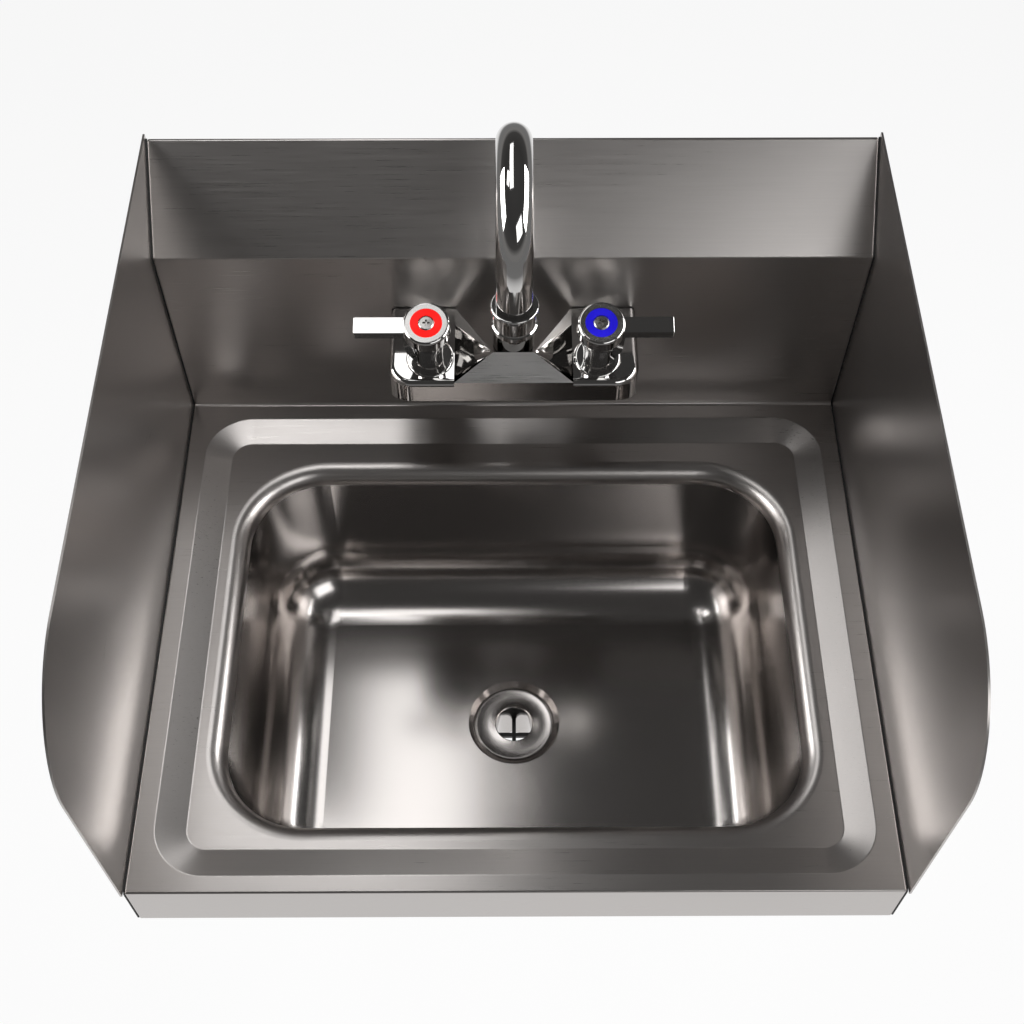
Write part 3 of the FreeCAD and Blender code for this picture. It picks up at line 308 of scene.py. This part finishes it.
def lathe(name, node, slot_name, centre, across, upward, along, rings, segments=72):
    """Turned piece in place of a CAD node, from a closed loop of rings about an axis (millimetres)."""
    points = []
    for radius, depth, turn, distance in rings:
        for step in range(segments):
            share = step / segments
            wave = 0.5 - 0.5 * math.cos(math.tau * (turn - share))
            reach = (radius - depth * wave) * MM
            angle = math.tau * share
            side = across * math.cos(angle) + upward * math.sin(angle)
            points.append(centre + side * reach + along * distance * MM)
    faces = []
    for ring in range(len(rings)):
        after = (ring + 1) % len(rings)
        for step in range(segments):
            beside = (step + 1) % segments
            faces.append((ring * segments + step, ring * segments + beside,
                          after * segments + beside, after * segments + step))
    mesh = closed_mesh(name, points, faces)
    mesh.shade_smooth()
    mesh.set_sharp_from_angle(angle=SHARP_ANGLE)
    piece = placed(mesh, finishes[slot_name])
    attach(piece, "root")
    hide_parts(node)


def plain(*profile):
    """Rings without thread from (radius, distance) pairs."""
    return [(radius, 0.0, 0.0, distance) for radius, distance in profile]


shank = (plain((SHANK_BORE, SHANK_FRONT), (SHANK_RADIUS, SHANK_FRONT),
               (SHANK_RADIUS, SHANK_GROOVE_START), (SHANK_GROOVE_RADIUS, SHANK_GROOVE_START),
               (SHANK_GROOVE_RADIUS, SHANK_GROOVE_END))
         + thread_rings(SHANK_GROOVE_END, SHANK_THREAD_END, SHANK_RADIUS, SHANK_PITCH, SHANK_DEPTH)
         + plain((SHANK_FACE_RADIUS, SHANK_END), (SHANK_BORE, SHANK_END)))
for side in ("hot", "cold"):
    lathe(side + "_threaded_shank", side + "_shank", "brass", SHANK_FOOT[side], RIGHT, UP, INWARD, shank)

dish = []
for step in range(DISH_STEPS + 1):
    share = step / DISH_STEPS
    sag = DISH_SAG * 4.0 * share * (1.0 - share)
    dish.append((DISH_RADIUS - DISH_WIDTH * share, FLANGE_TOP - DISH_FALL * share - sag))
drain = (plain((DRAIN_RADIUS, 0.0), (FLANGE_RADIUS, 0.0), (FLANGE_RADIUS, FLANGE_EDGE),
               (FLANGE_BREAK, FLANGE_TOP), *dish, (DRAIN_BORE, THROAT_EDGE),
               (DRAIN_BORE, DRAIN_FOOT), (DRAIN_FACE_RADIUS, DRAIN_FOOT))
         + thread_rings(DRAIN_THREAD_START, DRAIN_THREAD_END, DRAIN_RADIUS, DRAIN_PITCH, DRAIN_DEPTH)
         + plain((DRAIN_GROOVE_RADIUS, DRAIN_THREAD_END), (DRAIN_GROOVE_RADIUS, DRAIN_GROOVE_END),
                 (DRAIN_RADIUS, DRAIN_GROOVE_END)))
lathe("threaded_drain", "drain_flange", "drain_steel", DRAIN_CENTRE, RIGHT, INWARD, UP, drain, segments=96)


# ---------- dark strip of painted shade in the gap between the sink top and each side splash
DECK_FRONT, APRON_FOOT = -340.4, -40.9      # from the foot of the backsplash, millimetres
BEND_HEIGHT, RETURN = 141.6, 50.8
GAP_INNER, GAP_OUTER = 215.95, 216.85
BACKSPLASH_FOOT = Vector((0.0, -0.0508, -0.136))
SHADE_STRIP_FACE, SHADE_STRIP_BACK = 0.35, 1.1            # how far the painted-shade strip lies below the sheet's visible face
SHADE_STRIP_SHORT = 1.8                            # how far it stops before the return's top edge
FRONT_CHAMFER = 2.5
HALF_BEND = 0.4142                          # tangent of half the return's 45 degree bend


def fold_line(depth):
    """Section line of the folded sheet, a depth below its visible face."""
    slant = math.sqrt(0.5)
    reach = RETURN / slant - SHADE_STRIP_SHORT
    return [(DECK_FRONT + depth, APRON_FOOT), (DECK_FRONT + depth, -FRONT_CHAMFER),
            (DECK_FRONT + FRONT_CHAMFER, -depth), (depth, -depth), (depth, BEND_HEIGHT - HALF_BEND * depth),
            (reach * slant + depth * slant, BEND_HEIGHT + reach * slant - depth * slant)]


def gap_shade_strip(name, direction):
    """Thin dark strip of painted shade in the seam gap, following the fold on one side."""
    front, back = fold_line(SHADE_STRIP_FACE), fold_line(SHADE_STRIP_BACK)
    count = len(front)
    points = [BACKSPLASH_FOOT + Vector((direction * x, y, z)) * MM
              for x in (GAP_INNER, GAP_OUTER) for y, z in front + back]
    other = 2 * count
    faces = [(0, count, other + count, other),
             (count - 1, other + count - 1, other + 2 * count - 1, 2 * count - 1)]
    for step in range(count - 1):
        near, far = step, count + step
        faces += [(near, near + 1, far + 1, far),
                  (other + near, other + far, other + far + 1, other + near + 1),
                  (near, other + near, other + near + 1, near + 1),
                  (far, far + 1, other + far + 1, other + far)]
    # the black rubber finish serves here as painted shade in the seam gap, not as a real seal
    strip = placed(closed_mesh(name, points, faces), finishes["rubber"])
    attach(strip, "root")


gap_shade_strip("left_gap_shade", -1)
gap_shade_strip("right_gap_shade", 1)


# ---------- stage, light and camera
FAR_LEVEL = 0.24                            # how bright the studio is beyond the pale floor
FLOOR_CENTRE, FLOOR_RADIUS, FLOOR_SIDES = (0.0, 0.3, -0.75), 14.0, 96
PALE_REACH, FADE_END = 1.25, 2.3            # distances from the floor's centre, metres
GLOW_SHARE = 0.90                           # how much of the floor's colour isn't lit or shadowed
AIM = (0.0, -0.22, -0.15)
SOFT_BOXES = (                              # name, place, aim, width, height, watts
    ("overhead_box", (-0.115, 0.14, 0.55), (-0.115, 0.13, -0.15), 0.15, 0.66, 0.70),
    ("overhead_left_box", (-0.27, -0.06, 0.55), (-0.25, -0.07, -0.15), 0.15, 0.13, 0.24),
    ("right_box", (1.00, -0.10, 0.50), AIM, 1.10, 0.46, 16.0),
    ("left_box", (-1.00, -0.10, 0.50), AIM, 1.00, 0.46, 13.0),
    ("front_right_box", (0.85, -1.50, 1.05), AIM, 1.1, 0.7, 6.0),
)
WORLD_LEVELS = ((0.0, FAR_LEVEL), (0.53, FAR_LEVEL), (0.60, 0.07), (0.80, 0.05), (1.0, 0.06))
CAMERA_PLACE = (-0.00367, -0.66864, 0.65856)
CAMERA_TURN = (33.675, -0.0285, -0.2333)    # degrees about X, Y and Z
CAMERA_LENS, CAMERA_SENSOR = 51.99, 36.0
CLIP_NEAR, CLIP_FAR = 0.02, 60.0


def backdrop_material():
    """Pale floor, near white to the eye and in reflections, with a faint shadow; it fades far off."""
    material = bpy.data.materials.new("pale_floor")
    material.use_nodes = True
    tree = material.node_tree
    tree.nodes.clear()
    grain = noise(tree, (6.0, 6.0, 6.0), 3.0)
    paper = add_node(tree, "ShaderNodeBsdfDiffuse")
    link(tree, tinted(tree, grain, (0.80, 0.80, 0.80), (0.84, 0.84, 0.84)), paper.inputs["Color"])
    glow = add_node(tree, "ShaderNodeEmission", Color=(1.0, 1.0, 1.0, 1.0))
    place = tree.nodes.new("ShaderNodeTexCoord")
    reach = add_node(tree, "ShaderNodeVectorMath", operation="LENGTH")
    link(tree, place.outputs["Object"], reach.inputs[0])
    link(tree, ranged(tree, reach.outputs["Value"], 1.0, FAR_LEVEL, PALE_REACH, FADE_END), glow.inputs["Strength"])
    rays = tree.nodes.new("ShaderNodeLightPath")
    seen = added(tree, rays.outputs["Is Camera Ray"], rays.outputs["Is Glossy Ray"])
    seen = added(tree, seen, rays.outputs["Is Transmission Ray"])
    mix = tree.nodes.new("ShaderNodeMixShader")
    share = ranged(tree, seen, 0.0, GLOW_SHARE, 0.0, 1.0)
    link(tree, share, mix.inputs["Fac"])
    link(tree, paper.outputs["BSDF"], mix.inputs[1])
    link(tree, glow.outputs["Emission"], mix.inputs[2])
    output = tree.nodes.new("ShaderNodeOutputMaterial")
    link(tree, mix.outputs["Shader"], output.inputs["Surface"])
    return material


def floor_disc():
    """Large round floor below the sink."""
    angles = [math.tau * step / FLOOR_SIDES for step in range(FLOOR_SIDES)]
    ring = [(FLOOR_RADIUS * math.cos(angle), FLOOR_RADIUS * math.sin(angle), 0.0) for angle in angles]
    mesh = bpy.data.meshes.new("floor")
    mesh.from_pydata(ring, [], [tuple(range(FLOOR_SIDES))])
    floor = placed(mesh, backdrop_material())
    floor.location = FLOOR_CENTRE


def soft_box(name, place, aim, width, height, power):
    """Rectangular soft light that faces a point."""
    light = bpy.data.lights.new(name, "AREA")
    light.shape = "RECTANGLE"
    light.size, light.size_y, light.energy = width, height, power
    holder = bpy.data.objects.new(name, light)
    holder.location = place
    holder.rotation_euler = (Vector(aim) - Vector(place)).to_track_quat("-Z", "Y").to_euler()
    holder.visible_camera = False
    bpy.context.scene.collection.objects.link(holder)


def studio_world():
    """Pale band round the horizon under a dim ceiling."""
    world = bpy.data.worlds.new("studio")
    world.use_nodes = True
    tree = world.node_tree
    tree.nodes.clear()
    place = tree.nodes.new("ShaderNodeTexCoord")
    parts = tree.nodes.new("ShaderNodeSeparateXYZ")
    link(tree, place.outputs["Generated"], parts.inputs["Vector"])
    height = add_node(tree, "ShaderNodeMapRange", From_Min=-1.0, From_Max=1.0)
    link(tree, parts.outputs["Z"], height.inputs["Value"])
    ramp = tree.nodes.new("ShaderNodeValToRGB")
    ramp.color_ramp.elements[0].position, ramp.color_ramp.elements[1].position = 0.0, 1.0
    for position, _ in WORLD_LEVELS[1:-1]:
        ramp.color_ramp.elements.new(position)
    for element, (_, level) in zip(ramp.color_ramp.elements, WORLD_LEVELS):
        element.color = (level, level * 0.985, level * 0.97, 1.0)
    link(tree, height.outputs["Result"], ramp.inputs["Fac"])
    background = add_node(tree, "ShaderNodeBackground", Strength=1.0)
    link(tree, ramp.outputs["Color"], background.inputs["Color"])
    output = tree.nodes.new("ShaderNodeOutputWorld")
    link(tree, background.outputs["Background"], output.inputs["Surface"])
    bpy.context.scene.world = world


floor_disc()
studio_world()
for soft in SOFT_BOXES:
    soft_box(*soft)

camera = bpy.data.objects.new("camera", bpy.data.cameras.new("camera"))
camera.location = CAMERA_PLACE
camera.rotation_euler = [math.radians(turn) for turn in CAMERA_TURN]
camera.data.sensor_width, camera.data.lens = CAMERA_SENSOR, CAMERA_LENS
camera.data.clip_start, camera.data.clip_end = CLIP_NEAR, CLIP_FAR
bpy.context.scene.collection.objects.link(camera)
bpy.context.scene.camera = camera
bpy.context.scene.view_settings.view_transform = "Standard"
